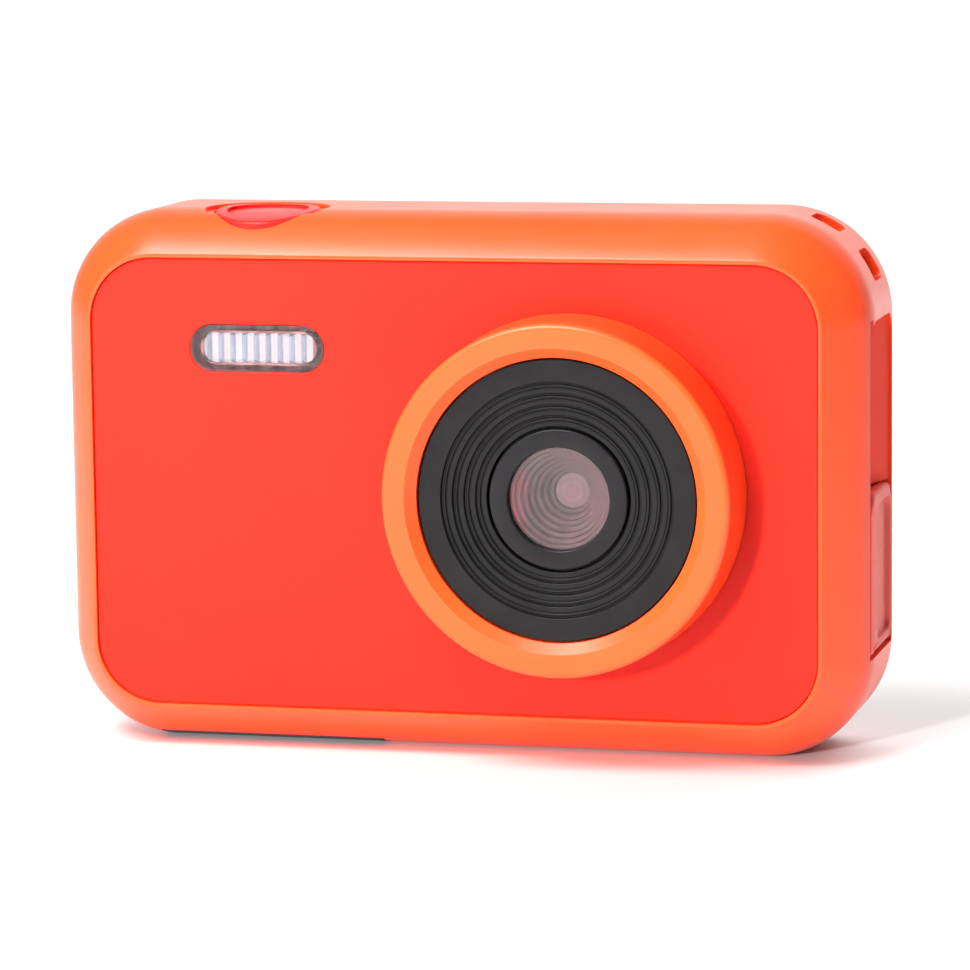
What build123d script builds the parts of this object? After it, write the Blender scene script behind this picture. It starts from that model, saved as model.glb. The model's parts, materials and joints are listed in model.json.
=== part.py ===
from build123d import *
import math
import os

# A child's compact action camera, in millimetres.
# Frame: +Z up, the lens looks along -Y, +X is on the right when the lens is faced.
# Origin: bottom centre of the whole camera's box. The camera stands on its flat bottom band.

# ---- body -------------------------------------------------------------------------------------
WIDTH = 80.0
HEIGHT = 52.3
BODY_DEPTH = 22.0
TOTAL_DEPTH = 29.4
CORNER = 10.4
WALL = 1.6
FRONT_BEVEL_INSET = 3.9
FRONT_BEVEL_DEPTH = 5.3
FRONT_BEVEL_SOFT = 6.5
REAR_BEVEL_INSET = 3.6
REAR_BEVEL_DEPTH = 4.4
REAR_BEVEL_SOFT = 1.2
LIP_ROUND = 0.3
KEY_PROUD = 0.6
MID_Z = HEIGHT / 2

RING_FRONT = -TOTAL_DEPTH / 2
BODY_REAR = TOTAL_DEPTH / 2 - KEY_PROUD
BODY_FRONT = BODY_REAR - BODY_DEPTH
PARTING = BODY_REAR - REAR_BEVEL_DEPTH
BAND_FRONT = BODY_FRONT + FRONT_BEVEL_DEPTH

# ---- front panel, glued into a shallow pocket of the front shell ---------------------------------
PANEL_W = 71.4
PANEL_H = 43.6
PANEL_R = 6.15
PANEL_GAP = 0.1
PANEL_T = 1.2
PANEL_SUNK = 0.25
ADHESIVE_T = 0.2
PANEL_FRONT = BODY_FRONT + PANEL_SUNK
PANEL_BACK = PANEL_FRONT + PANEL_T
WALL_FRONT = PANEL_BACK + ADHESIVE_T
WALL_BACK = WALL_FRONT + WALL
REAR_WALL = BODY_REAR - WALL

# ---- lens --------------------------------------------------------------------------------------
LENS_X = 11.9
LENS_Z = MID_Z
RING_BASE_R = 17.06
RING_RIM_R = 16.76
RING_EDGE = 0.55
RING_SPIGOT_R = 15.7
RING_BORE_R = 12.3
RING_FLAT_R = 14.5
BEZEL_R = 13.37
BEZEL_FRONT = RING_FRONT + 1.2
BEZEL_LEDGE = BEZEL_FRONT + 1.6
BEZEL_BACK = BEZEL_FRONT + 2.9
BEZEL_FLOOR = BEZEL_FRONT + 2.0
GROOVES = 4
GROOVE_OUTER_R = 11.25
GROOVE_INNER_R = 6.96
GROOVE_DROP = 0.22
COLLAR_R = 6.67
COLLAR_BORE_R = 4.92
COLLAR_FRONT = BEZEL_FRONT + 0.7
GLASS_R = 5.6
GLASS_FRONT = COLLAR_FRONT + 0.5
BAFFLE_STEPS = 6
BAFFLE_MOUTH_R = 4.5
BAFFLE_END_R = 1.75
BAFFLE_FRONT = BEZEL_FLOOR
BAFFLE_BACK = -6.4
BARREL_R = 3.5
BARREL_BACK = 0.3
SENSOR_BOARD_Y = 1.6
RING_SCREW_CIRCLE = 14.2

# ---- flash ---------------------------------------------------------------------------------------
FLASH_X = -19.0
FLASH_Z = MID_Z + 13.18
FLASH_W = 13.4
FLASH_H = 4.46
FLASH_POCKET_W = 11.7
FLASH_POCKET_H = 3.3
FLASH_RIBS = 9
FLASH_BOARD_Y = -2.6

# ---- boards, screen and battery --------------------------------------------------------------------
BOARD_T = 1.0
THIN_BOARD_T = 0.8
MAIN_BOARD_Y = 3.2
MAIN_BOARD_BACK = MAIN_BOARD_Y + BOARD_T
SCREEN_X = 9.5
WINDOW_W = 50.0
WINDOW_H = 38.0
WINDOW_T = 1.0
VIEW_W = 41.4
VIEW_H = 31.2
LCD_W = 44.0
LCD_H = 32.5
LCD_T = 2.5
LCD_FRONT = 9.6
KEY_BOARD_Y = 8.2

# ---- keys on the back ------------------------------------------------------------------------------
KEY_X = -26.0
KEY_GAP = 0.12
KEY_TRAVEL = 0.3
KEY_BOSS_OFFSET = 9.95
OK_R = 3.6
ARROW_IN_R = 4.5
ARROW_OUT_R = 8.0
ARROW_HALF_ANGLE = 52.0
SMALL_KEY_R = 3.0
POWER_Z = MID_Z + 14.9
MENU_Z = MID_Z - 14.9
LIGHT_PLACE = (KEY_X + 7.5, POWER_Z)
MIC_PLACE = (KEY_X + 7.5, MENU_Z)

# ---- shutter button --------------------------------------------------------------------------------
SHUTTER_X = -20.05
SHUTTER_Y = 0.4
SHUTTER_R = 5.2
SHUTTER_HOLE_R = 5.35
SHUTTER_COLLAR_R = 6.1
SHUTTER_COLLAR_DEPTH = 0.4
SHUTTER_CROWN_R = 30.0
SHUTTER_CROWN_Y = 3.0
SHUTTER_EDGE = 0.45
SHUTTER_SKIRT_Z = 48.2
SHUTTER_SKIRT_T = 1.1
SHUTTER_ROOF_Z = 50.4
SHUTTER_WING = 6.5
SHUTTER_BOARD_FRONT = -1.6
SHUTTER_BOARD_BACK = 4.2
SHUTTER_DISH_R = 4.0
SHUTTER_DISH_DEPTH = 0.3
SHUTTER_BOARD_Z = 45.2

# ---- side recess with the port cover ---------------------------------------------------------------
RECESS_FRONT = -2.1
RECESS_BACK = 9.05
RECESS_LOW = 9.85
RECESS_TOP = 42.15
RECESS_R = 2.0
RECESS_DEPTH = 1.8
SCOOP_END_DEPTH = 0.3
COVER_LOW = 10.0
COVER_TOP = 25.65
COVER_TOP_R = 1.85
COVER_GAP = 0.15
COVER_HINGE_R = 0.9
COVER_SUNK = 0.5
COVER_RIM = 1.25
COVER_RIM_FRONT = 2.6
COVER_RIM_REAR = 0.6
SIDE_BLOCK_X = WIDTH / 2 - RECESS_DEPTH - WALL
USB_Z = 16.35
CARD_Z = 18.4

# ---- strap slots through the top right corner --------------------------------------------------------
STRAP_Y = 5.1
STRAP_W = 4.3
STRAP_SLOTS = ((20.5, 39.0), (53.0, 70.5))
STRAP_SLOT_ROUND = 0.8
STRAP_TUNNEL_OUT_R = CORNER - 1.8
STRAP_TUNNEL_IN_R = 6.5
STRAP_BLOCK_R = 5.6

# ---- screws, tripod nut and label --------------------------------------------------------------------
SHELL_SCREWS = ((-33.5, 43.0), (-33.5, 9.3), (34.0, 39.0), (34.0, 9.6))
SHELL_SCREW_R = 0.9
SHELL_HEAD_R = 1.5
SHELL_BOSS_R = 1.6
BOSS_MEET = 6.0
BOARD_SCREWS = ((-29.8, 43.0), (-29.0, 10.2), (29.0, 41.0), (26.5, 10.7))
BOARD_SCREW_R = 0.7
BOARD_HEAD_R = 1.3
TRIPOD_X = LENS_X
TRIPOD_Y = (BAND_FRONT + PARTING) / 2
TRIPOD_BORE_R = 2.6
TRIPOD_NUT_R = 4.4
TRIPOD_DEPTH = 5.5
LABEL_W = 23.0
LABEL_X = -19.5
LABEL_FRONT = -1.5
LABEL_BACK = 8.0
LABEL_T = 0.1


# ---- helpers ---------------------------------------------------------------------------------------
def plate(outline, y_front, y_back):
    """A flat outline, drawn in X and Z, made solid between two depths."""
    plane = Plane(origin=(0, y_back, 0), x_dir=(1, 0, 0), z_dir=(0, -1, 0))
    return extrude(plane * outline, amount=y_back - y_front)


def disc(x, z, radius, y_front, y_back):
    """A round bar along Y."""
    return plate(Pos(x, z) * Circle(radius), y_front, y_back)


def slab(x, z, width, height, radius, y_front, y_back):
    """A rectangular plate with rounded corners, thin along Y."""
    return plate(Pos(x, z) * RectangleRounded(width, height, radius), y_front, y_back)


def brick(low, high):
    """A box between two corners."""
    size = [b - a for a, b in zip(low, high)]
    centre = [(a + b) / 2 for a, b in zip(low, high)]
    return Pos(*centre) * Box(*size)


def side_frame(x, y_low, y_high, z_low, z_high):
    """A plane facing +X, centred on a rectangle in Y and Z."""
    return Plane(origin=(x, (y_low + y_high) / 2, (z_low + z_high) / 2), x_dir=(0, 1, 0), z_dir=(1, 0, 0))


def turned(points, x=LENS_X, z=LENS_Z):
    """A body of revolution about an axis along Y, from (radius, y) points."""
    face = make_face(Polyline(*points, close=True))
    return revolve(Plane(origin=(x, 0, z)) * face, Axis((x, 0, z), (0, 1, 0)))


def upright(x, y, radius, z_low, z_high):
    """A round bar along Z."""
    return Pos(x, y, (z_low + z_high) / 2) * Cylinder(radius, z_high - z_low)


def edges_at(shape, y):
    """The edges of a shape that lie in the plane at depth y."""
    return shape.edges().filter_by_position(Axis.Y, y - 0.001, y + 0.001)


def joined(parts):
    """Separate solids kept side by side in one node."""
    return Compound(children=list(parts))


def wires(points, radius, shift):
    """Two parallel insulated wires along one route of straight runs and arcs."""
    pair = []
    for side in (0, 1):
        moved = [tuple(p[i] + side * shift[i] for i in range(3)) for p in points]
        route = FilletPolyline(*moved, radius=1.2)
        start = Plane(origin=route @ 0, z_dir=route % 0)
        pair.append(sweep(start * Circle(radius), path=route))
    return joined(pair)


# ---- casing ------------------------------------------------------------------------------------------
def outer_body():
    """The whole camera body: a rounded block with soft bevels round its front and back."""
    block = slab(0, MID_Z, WIDTH, HEIGHT, CORNER, BODY_FRONT, BODY_REAR)
    front = block.faces().sort_by(Axis.Y)[0]
    block = chamfer(front.edges(), FRONT_BEVEL_INSET, FRONT_BEVEL_DEPTH, reference=front)
    rear = block.faces().sort_by(Axis.Y)[-1]
    block = chamfer(rear.edges(), REAR_BEVEL_INSET, REAR_BEVEL_DEPTH, reference=rear)
    block = fillet(edges_at(block, BAND_FRONT), FRONT_BEVEL_SOFT)
    block = fillet(edges_at(block, PARTING), REAR_BEVEL_SOFT)
    return fillet(edges_at(block, BODY_REAR), 1.2)


def bevelled_hollow():
    """The space inside both shells, one wall thickness inside the outer body."""
    front_slope = FRONT_BEVEL_INSET / FRONT_BEVEL_DEPTH
    rear_slope = REAR_BEVEL_INSET / REAR_BEVEL_DEPTH
    front_shift = WALL * (math.hypot(1, front_slope) - 1) / front_slope
    rear_shift = WALL * (math.hypot(1, rear_slope) - 1) / rear_slope
    front_depth = BAND_FRONT + front_shift - WALL_BACK
    rear_depth = REAR_WALL - (PARTING - rear_shift)
    hollow = slab(0, MID_Z, WIDTH - 2 * WALL, HEIGHT - 2 * WALL, CORNER - WALL, WALL_BACK, REAR_WALL)
    front = hollow.faces().sort_by(Axis.Y)[0]
    hollow = chamfer(front.edges(), front_slope * front_depth, front_depth, reference=front)
    rear = hollow.faces().sort_by(Axis.Y)[-1]
    return chamfer(rear.edges(), rear_slope * rear_depth, rear_depth, reference=rear)


def corner_sector(r_in, r_out, start, end, y_front, y_back):
    """A slice of a ring about the top right corner's centre, between two angles from +X."""
    outline = Circle(r_out) - Circle(r_in)
    reach = 3 * r_out
    angles = [math.radians(a) for a in (start, (start + end) / 2, end)]
    rays = [(reach * math.cos(a), reach * math.sin(a)) for a in angles]
    outline &= make_face(Polyline((0, 0), *rays, close=True))
    return plate(Pos(WIDTH / 2 - CORNER, HEIGHT - CORNER) * outline, y_front, y_back)


def strap_block():
    half = STRAP_W / 2 + 1.1
    return corner_sector(STRAP_BLOCK_R, CORNER - WALL / 2, 10, 82, STRAP_Y - half, STRAP_Y + half)


def strap_cut():
    """Two slots through the corner, joined behind the bar that the strap goes round."""
    y_front, y_back = STRAP_Y - STRAP_W / 2, STRAP_Y + STRAP_W / 2
    start, end = STRAP_SLOTS[0][0], STRAP_SLOTS[1][1]
    cut = corner_sector(STRAP_TUNNEL_IN_R, STRAP_TUNNEL_OUT_R, start, end, y_front, y_back)
    for low, high in STRAP_SLOTS:
        slot = corner_sector(STRAP_TUNNEL_IN_R, CORNER + 2, low, high, y_front, y_back)
        straight = slot.edges().filter_by(GeomType.LINE)
        cut += fillet(straight.filter_by(lambda edge: abs(edge.tangent_at(0.5).Y) < 0.1), STRAP_SLOT_ROUND)
    return cut


def recess_outline():
    """The side recess's outline in Y and Z: round at the top, square at the hinge."""
    width = RECESS_BACK - RECESS_FRONT
    height = RECESS_TOP - RECESS_LOW
    square_half = Pos(0, -height / 4) * Rectangle(width, height / 2)
    return RectangleRounded(width, height, RECESS_R) + square_half


def recess_cut():
    """The long side recess: flat under the port cover, scooped out above it for a fingertip."""
    side = WIDTH / 2
    out = side + 2
    floor_x = side - RECESS_DEPTH
    flat = brick((floor_x, RECESS_FRONT, RECESS_LOW), (out, RECESS_BACK, COVER_TOP + COVER_GAP))
    scoop_edge = (side - SCOOP_END_DEPTH, RECESS_BACK)
    middle = (side - 0.62 * RECESS_DEPTH, RECESS_FRONT + 0.68 * (RECESS_BACK - RECESS_FRONT))
    curve = ThreePointArc((floor_x, RECESS_FRONT), middle, scoop_edge)
    rest = Polyline(scoop_edge, (out, RECESS_BACK), (out, RECESS_FRONT), (floor_x, RECESS_FRONT))
    profile = make_face(Wire([curve.edge(), *rest.edges()]))
    height = RECESS_TOP - COVER_TOP
    scoop = extrude(Plane(origin=(0, 0, COVER_TOP)) * profile, amount=height)
    frame = side_frame(floor_x - 1, RECESS_FRONT, RECESS_BACK, RECESS_LOW, RECESS_TOP)
    return (flat + scoop) & extrude(frame * recess_outline(), amount=5)


def port_openings():
    """The holes behind the port cover for the data plug, the memory card and the reset pin."""
    x_in, x_out = SIDE_BLOCK_X - 1, WIDTH / 2
    usb = brick((x_in, 3.95, USB_Z - 4.4), (x_out, 7.05, USB_Z + 4.6))
    card = brick((x_in, 1.3, CARD_Z - 6.4), (x_out, 3.5, CARD_Z + 6.6))
    reset = Pos(x_out, 5.2, 23.2) * Rot(0, 90, 0) * Cylinder(0.7, 8)
    return usb + card + reset


def shutter_cut():
    """The shutter button's hole and the shallow collar round it, open at the front bevel."""
    hole = upright(SHUTTER_X, SHUTTER_Y, SHUTTER_HOLE_R, HEIGHT - 5, HEIGHT + 2)
    collar = upright(SHUTTER_X, SHUTTER_Y, SHUTTER_COLLAR_R, HEIGHT - SHUTTER_COLLAR_DEPTH, HEIGHT + 2)
    return hole + collar


def flash_outline(margin=0.0):
    return Pos(FLASH_X, FLASH_Z) * SlotOverall(FLASH_W + 2 * margin, FLASH_H + 2 * margin)


def speaker_slots():
    """A column of short slots in the left wall in front of the speaker."""
    out, inside = -WIDTH / 2 - 1, -WIDTH / 2 + 2.2
    return joined(brick((out, 2.4, z - 0.45), (inside, 7.2, z + 0.45)) for z in range(21, 32, 2))


def front_shell():
    shell = outer_body() & brick((-50, -20, -5), (50, PARTING, 60))
    shell = fillet(edges_at(shell, BODY_FRONT), LIP_ROUND)
    shell -= bevelled_hollow()
    shell -= slab(0, MID_Z, WIDTH - 2 * WALL, HEIGHT - 2 * WALL, CORNER - WALL, BAND_FRONT + 2, PARTING)
    shell += strap_block()
    side_block = brick((SIDE_BLOCK_X, RECESS_FRONT - WALL, 7.8), (WIDTH / 2 - WALL, PARTING, 43.6))
    shell += side_block & outer_body()
    for x, z in SHELL_SCREWS:
        shell += disc(x, z, SHELL_BOSS_R + 0.2, WALL_BACK, BOSS_MEET)
    for x, z in BOARD_SCREWS:
        shell += disc(x, z, 1.3, WALL_BACK, MAIN_BOARD_Y)
    for side in (-1, 1):
        shell += disc(FLASH_X + side * 8.6, FLASH_Z, 0.9, WALL_BACK, FLASH_BOARD_Y)
    shell += upright(TRIPOD_X, TRIPOD_Y, TRIPOD_NUT_R + 1.2, 0.8, TRIPOD_DEPTH + 1.0)
    for side in (-1, 1):
        x = SHUTTER_X + side * 7.6
        shell += brick((x - 0.7, -2.4, SHUTTER_BOARD_Z - 0.6), (x + 0.7, 4.6, SHUTTER_BOARD_Z + 5.9))
    pocket_w, pocket_h = PANEL_W + 2 * PANEL_GAP, PANEL_H + 2 * PANEL_GAP
    shell -= slab(0, MID_Z, pocket_w, pocket_h, PANEL_R + PANEL_GAP, BODY_FRONT - 1, WALL_FRONT)
    shell -= disc(LENS_X, LENS_Z, 9.0, WALL_FRONT - 1, WALL_BACK + 1)
    shell -= plate(flash_outline(0.05), WALL_FRONT - 1, WALL_BACK + 1)
    for angle in (90, 210, 330):
        x, z = on_circle(angle, RING_SCREW_CIRCLE)
        shell -= disc(x, z, 0.85, WALL_FRONT - 1, WALL_BACK + 1)
    for x, z in SHELL_SCREWS:
        shell -= disc(x, z, SHELL_SCREW_R + 0.1, BODY_FRONT, BOSS_MEET)
        shell -= disc(x, z, SHELL_HEAD_R + 0.1, BODY_FRONT, WALL_FRONT + 0.8)
    for x, z in BOARD_SCREWS:
        shell -= disc(x, z, BOARD_SCREW_R, MAIN_BOARD_Y - 4, MAIN_BOARD_Y)
    shell -= recess_cut()
    shell -= port_openings()
    shell -= strap_cut()
    shell -= shutter_cut()
    shell -= speaker_slots()
    shell -= upright(TRIPOD_X, TRIPOD_Y, TRIPOD_NUT_R, -1, TRIPOD_DEPTH)
    shell -= brick((LABEL_X - LABEL_W / 2, LABEL_FRONT, -1), (LABEL_X + LABEL_W / 2, LABEL_BACK, LABEL_T))
    groove = slab(0, MID_Z, WIDTH + 2, HEIGHT + 2, CORNER + 1, PARTING - 0.12, PARTING + 1)
    groove -= slab(0, MID_Z, WIDTH - 0.5, HEIGHT - 0.5, CORNER - 0.25, PARTING - 1, PARTING + 2)
    return shell - groove


def key_outlines():
    """Each rear key's name, outline centre and outline, in X and Z."""
    sector = Circle(ARROW_OUT_R) - Circle(ARROW_IN_R)
    reach = 2 * ARROW_OUT_R
    half = math.radians(ARROW_HALF_ANGLE)
    wedge = make_face(Polyline(
        (0, 0), (-reach * math.sin(half), reach * math.cos(half)), (0, reach),
        (reach * math.sin(half), reach * math.cos(half)), close=True))
    arrow = sector & wedge
    arrow = fillet(arrow.vertices(), 0.7)
    return {
        "power_key": ((KEY_X, POWER_Z), Circle(SMALL_KEY_R)),
        "up_key": ((KEY_X, MID_Z), arrow),
        "ok_key": ((KEY_X, MID_Z), Circle(OK_R)),
        "down_key": ((KEY_X, MID_Z), Rot(0, 0, 180) * arrow),
        "menu_key": ((KEY_X, MENU_Z), Circle(SMALL_KEY_R)),
    }


def stem_places():
    """Where each rear key's stem presses its switch."""
    arrow_mid = (ARROW_IN_R + ARROW_OUT_R) / 2
    return {
        "power_key": (KEY_X, POWER_Z),
        "up_key": (KEY_X, MID_Z + arrow_mid),
        "ok_key": (KEY_X, MID_Z),
        "down_key": (KEY_X, MID_Z - arrow_mid),
        "menu_key": (KEY_X, MENU_Z),
    }


def rear_shell():
    shell = outer_body() & brick((-50, PARTING, -5), (50, 20, 60))
    shell -= bevelled_hollow()
    inside_w, inside_h, inside_r = WIDTH - 2 * WALL, HEIGHT - 2 * WALL, CORNER - WALL
    tongue = slab(0, MID_Z, inside_w - 0.2, inside_h - 0.2, inside_r, PARTING - 1.1, PARTING + 0.6)
    tongue -= slab(0, MID_Z, inside_w - 1.8, inside_h - 1.8, inside_r - 0.8, PARTING - 2, PARTING + 2)
    tongue -= brick((SIDE_BLOCK_X - 0.3, -5, 7.0), (50, 20, 46.0))
    tongue -= upright(TRIPOD_X, TRIPOD_Y, TRIPOD_NUT_R + 1.5, -1, 9)
    shell += tongue
    for x, z in SHELL_SCREWS:
        shell += disc(x, z, SHELL_BOSS_R + 0.2, BOSS_MEET + 0.1, REAR_WALL)
        shell -= disc(x, z, SHELL_SCREW_R, BOSS_MEET - 1, REAR_WALL - 1.0)
    for z in (MID_Z - KEY_BOSS_OFFSET, MID_Z + KEY_BOSS_OFFSET):
        shell += disc(KEY_X, z, 1.2, KEY_BOARD_Y + THIN_BOARD_T, REAR_WALL)
        shell -= disc(KEY_X, z, BOARD_SCREW_R, KEY_BOARD_Y, REAR_WALL - 0.4)
    for (x, z), outline in key_outlines().values():
        shell -= plate(Pos(x, z) * offset(outline, KEY_GAP), REAR_WALL - 1, BODY_REAR + 1)
    window_w, window_h = WINDOW_W + 0.1, WINDOW_H + 0.1
    shell -= slab(SCREEN_X, MID_Z, window_w, window_h, 3.05, BODY_REAR - WINDOW_T, BODY_REAR + 1)
    shell -= slab(SCREEN_X, MID_Z, VIEW_W, VIEW_H, 0.8, REAR_WALL - 1, BODY_REAR)
    shell -= disc(*LIGHT_PLACE, 1.0, REAR_WALL - 1, BODY_REAR + 1)
    return shell - disc(*MIC_PLACE, 0.5, REAR_WALL - 1, BODY_REAR + 1)


def front_panel():
    panel = slab(0, MID_Z, PANEL_W, PANEL_H, PANEL_R, PANEL_FRONT, PANEL_BACK)
    panel -= disc(LENS_X, LENS_Z, RING_SPIGOT_R + 0.15, PANEL_FRONT - 1, PANEL_BACK + 1)
    panel -= plate(flash_outline(0.07), PANEL_FRONT - 1, PANEL_BACK + 1)
    rim = edges_at(panel, PANEL_FRONT)
    return fillet(rim, 0.12)


def panel_adhesive():
    sheet = slab(0, MID_Z, PANEL_W - 1, PANEL_H - 1, PANEL_R - 0.5, PANEL_BACK, WALL_FRONT)
    sheet -= disc(LENS_X, LENS_Z, RING_SPIGOT_R + 0.4, PANEL_FRONT, WALL_FRONT + 1)
    return sheet - plate(flash_outline(0.4), PANEL_FRONT, WALL_FRONT + 1)


# ---- lens --------------------------------------------------------------------------------------------
def on_circle(angle, radius):
    """A point on a circle about the lens axis, in X and Z."""
    turn = math.radians(angle)
    return LENS_X + radius * math.cos(turn), LENS_Z + radius * math.sin(turn)


def lens_ring():
    base = PANEL_FRONT - 0.1
    chamfer_end = RING_FRONT + RING_FLAT_R - BEZEL_R - 0.18
    seal_r, seal_front = RING_BORE_R + 1.1, WALL_FRONT - 0.4
    seat_r = BEZEL_R + 0.18
    ring = turned([
        (RING_SPIGOT_R, base), (RING_BASE_R, base), (RING_RIM_R, RING_FRONT), (RING_FLAT_R, RING_FRONT),
        (seat_r, chamfer_end), (seat_r, BEZEL_LEDGE), (RING_BORE_R, BEZEL_LEDGE),
        (RING_BORE_R, seal_front), (seal_r, seal_front), (seal_r, WALL_FRONT), (RING_SPIGOT_R, WALL_FRONT)])
    rim = edges_at(ring, RING_FRONT).sort_by(SortBy.RADIUS)
    ring = fillet(rim[-1], RING_EDGE)
    for angle in (90, 210, 330):
        ring -= disc(*on_circle(angle, RING_SCREW_CIRCLE), 0.75, WALL_FRONT - 4.2, WALL_FRONT)
    return ring


def lens_gasket():
    inner, outer = RING_BORE_R + 0.05, RING_BORE_R + 1.05
    back = WALL_FRONT
    return turned([(inner, back - 0.4), (outer, back - 0.4), (outer, back), (inner, back)])


def ring_screws():
    screws = []
    for angle in (90, 210, 330):
        x, z = on_circle(angle, RING_SCREW_CIRCLE)
        shank = disc(x, z, 0.75, WALL_FRONT - 4, WALL_BACK)
        screws.append(shank + disc(x, z, 1.3, WALL_BACK, WALL_BACK + 0.7))
    return joined(screws)


def lens_bezel():
    """The black dished face: double grooves between treads that step down towards the lens."""
    pitch = (GROOVE_OUTER_R - GROOVE_INNER_R) / GROOVES
    steps = []
    for i in range(GROOVES):
        r = GROOVE_OUTER_R - i * pitch
        y = BEZEL_FRONT + i * GROOVE_DROP
        first, land, second = r - 0.3, r - 0.47, r - 0.57
        steps += [(r, y), (r, y + 0.35), (first, y + 0.35), (first, y + 0.08)]
        steps += [(land, y + 0.08), (land, y + 0.3), (second, y + 0.3), (second, y + GROOVE_DROP)]
    last_tread = BEZEL_FRONT + GROOVES * GROOVE_DROP
    bore_r, plug_r = BAFFLE_MOUTH_R + 0.5, RING_BORE_R - 0.2
    return turned([
        (bore_r, BEZEL_BACK), (plug_r, BEZEL_BACK), (plug_r, BEZEL_LEDGE), (BEZEL_R, BEZEL_LEDGE),
        (BEZEL_R, BEZEL_FRONT + 0.12), (BEZEL_R - 0.12, BEZEL_FRONT), *steps,
        (GROOVE_INNER_R, last_tread), (GROOVE_INNER_R, BEZEL_FLOOR), (bore_r, BEZEL_FLOOR)])


def lens_collar():
    """The small raised ring that holds the cover glass."""
    front = COLLAR_FRONT
    seat_r = GLASS_R + 0.05
    return turned([
        (COLLAR_R, BEZEL_FLOOR), (COLLAR_R, front + 0.15), (COLLAR_R - 0.15, front),
        (COLLAR_BORE_R + 0.18, front), (COLLAR_BORE_R, front + 0.18), (COLLAR_BORE_R, GLASS_FRONT),
        (seat_r, GLASS_FRONT), (seat_r, BEZEL_FLOOR)])


def lens_cover_glass():
    return disc(LENS_X, LENS_Z, GLASS_R, GLASS_FRONT, BEZEL_FLOOR - 0.02)


def lens_baffle():
    """The stepped funnel that keeps stray light off the lens."""
    depth = (BAFFLE_BACK - 0.4 - BAFFLE_FRONT) / BAFFLE_STEPS
    narrowing = (BAFFLE_MOUTH_R - BAFFLE_END_R) / BAFFLE_STEPS
    bore = []
    for i in range(BAFFLE_STEPS):
        r = BAFFLE_MOUTH_R - i * narrowing
        y = BAFFLE_FRONT + (i + 1) * depth
        bore += [(r, y), (r - narrowing, y)]
    outer = BAFFLE_MOUTH_R + 0.4
    return turned([
        (BAFFLE_MOUTH_R, BAFFLE_FRONT), *bore, (BAFFLE_END_R, BAFFLE_BACK), (3.2, BAFFLE_BACK),
        (outer, BEZEL_BACK + 0.8), (6.4, BEZEL_BACK + 0.8), (6.4, BEZEL_BACK), (outer, BEZEL_BACK),
        (outer, BAFFLE_FRONT)])


def lens_barrel():
    front = BAFFLE_BACK + 0.05
    return turned([
        (1.8, front), (BARREL_R, front), (BARREL_R, BARREL_BACK), (2.6, BARREL_BACK), (2.6, front + 1.2),
        (1.8, front + 1.2)])


def lens_front_element():
    """A small domed glass in the barrel's mouth."""
    seat = BAFFLE_BACK + 0.1
    radius, rise = 1.7, 0.45
    dome_r = (radius ** 2 + rise ** 2) / (2 * rise)
    dome = Pos(LENS_X, seat - rise + dome_r, LENS_Z) * Sphere(dome_r)
    blank = disc(LENS_X, LENS_Z, radius, seat - 1, seat + 1.0)
    return blank & (dome + disc(LENS_X, LENS_Z, radius, seat, seat + 1.0))


def aperture_stop():
    front = BAFFLE_BACK + 1.3
    return turned([(0.94, front), (2.55, front), (2.55, front + 0.15), (0.94, front + 0.15)])


def lens_rear_elements():
    return joined(disc(LENS_X, LENS_Z, 2.55, y, y + 1.0) for y in (-4.6, -2.6))


def lens_holder():
    holder = slab(LENS_X, LENS_Z, 10.5, 10.5, 1.0, -3.0, SENSOR_BOARD_Y)
    holder -= disc(LENS_X, LENS_Z, BARREL_R, -4, SENSOR_BOARD_Y)
    return holder - slab(LENS_X, LENS_Z, 7.6, 7.6, 0.4, -0.2, SENSOR_BOARD_Y + 1)


def ir_filter():
    return slab(LENS_X, LENS_Z, 7.5, 7.5, 0.3, 0.4, 0.7)


def image_sensor():
    return slab(LENS_X, LENS_Z, 6.4, 5.2, 0.2, 0.8, SENSOR_BOARD_Y)


def sensor_board():
    return slab(LENS_X, LENS_Z, 15.0, 13.0, 0.8, SENSOR_BOARD_Y, SENSOR_BOARD_Y + THIN_BOARD_T)


def sensor_connector():
    return slab(LENS_X, LENS_Z - 3.5, 10.0, 3.0, 0.3, SENSOR_BOARD_Y + THIN_BOARD_T, MAIN_BOARD_Y)


# ---- flash -------------------------------------------------------------------------------------------
def flash_window():
    """A clear lozenge, hollow behind its face to take the ribbed diffuser."""
    window = plate(flash_outline(), PANEL_FRONT + 0.05, WALL_BACK)
    window += plate(flash_outline(1.0), WALL_BACK, WALL_BACK + 0.5)
    pocket = Pos(FLASH_X, FLASH_Z) * SlotOverall(FLASH_POCKET_W, FLASH_POCKET_H)
    return window - plate(pocket, PANEL_FRONT + 0.85, WALL_BACK + 1)


def flash_diffuser():
    """A pearly plug with a row of upright ribs on its face."""
    outline = Pos(FLASH_X, FLASH_Z) * SlotOverall(FLASH_POCKET_W - 0.1, FLASH_POCKET_H - 0.1)
    face_y = PANEL_FRONT + 1.3
    plug = plate(outline, face_y, WALL_BACK + 0.6)
    pitch = (FLASH_POCKET_W - 0.5) / FLASH_RIBS
    ribs = None
    for i in range(FLASH_RIBS):
        x = FLASH_X + (i - (FLASH_RIBS - 1) / 2) * pitch
        rib = Pos(x, face_y + 0.12, FLASH_Z) * Cylinder(pitch * 0.44, FLASH_POCKET_H)
        ribs = rib if ribs is None else ribs + rib
    ribs &= plate(outline, PANEL_FRONT + 0.9, face_y + 0.5)
    return plug + ribs


def flash_leds():
    front = FLASH_BOARD_Y - 0.8
    return joined(slab(FLASH_X + s * 2.6, FLASH_Z, 3.0, 3.2, 0.3, front, FLASH_BOARD_Y) for s in (-1, 1))


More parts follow.
